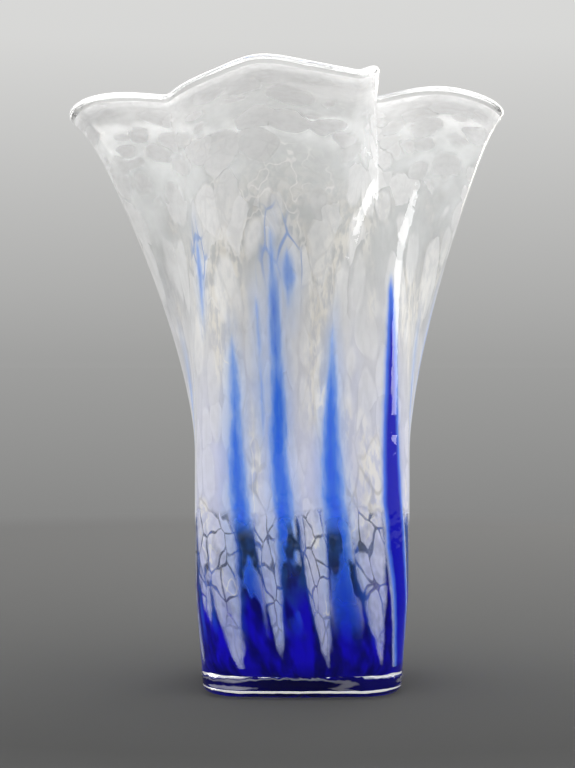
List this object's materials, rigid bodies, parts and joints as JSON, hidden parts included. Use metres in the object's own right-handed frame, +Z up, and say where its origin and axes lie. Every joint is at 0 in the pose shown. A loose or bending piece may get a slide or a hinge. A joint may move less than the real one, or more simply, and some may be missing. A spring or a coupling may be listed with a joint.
{
  "type": "handkerchief vase",
  "caption": "Hand-blown glass handkerchief vase: a rounded-square body on a thick foot, flaring to a wavy rim of uneven folded lobes.",
  "frame": {"origin": "middle of the foot's flat underside, on the axis of the square body", "axes": "+Z up the body's axis to the rim, -Y out of the front face, +X to the right of the front face"},
  "size_m": [0.1891, 0.1694, 0.2595],
  "materials": {
    "glass": "clear fire-polished glass with white flecks and cobalt blue streaks rising from the foot"
  },
  "bodies": {
    "root": {"vase": "glass"}
  },
  "joints": []
}
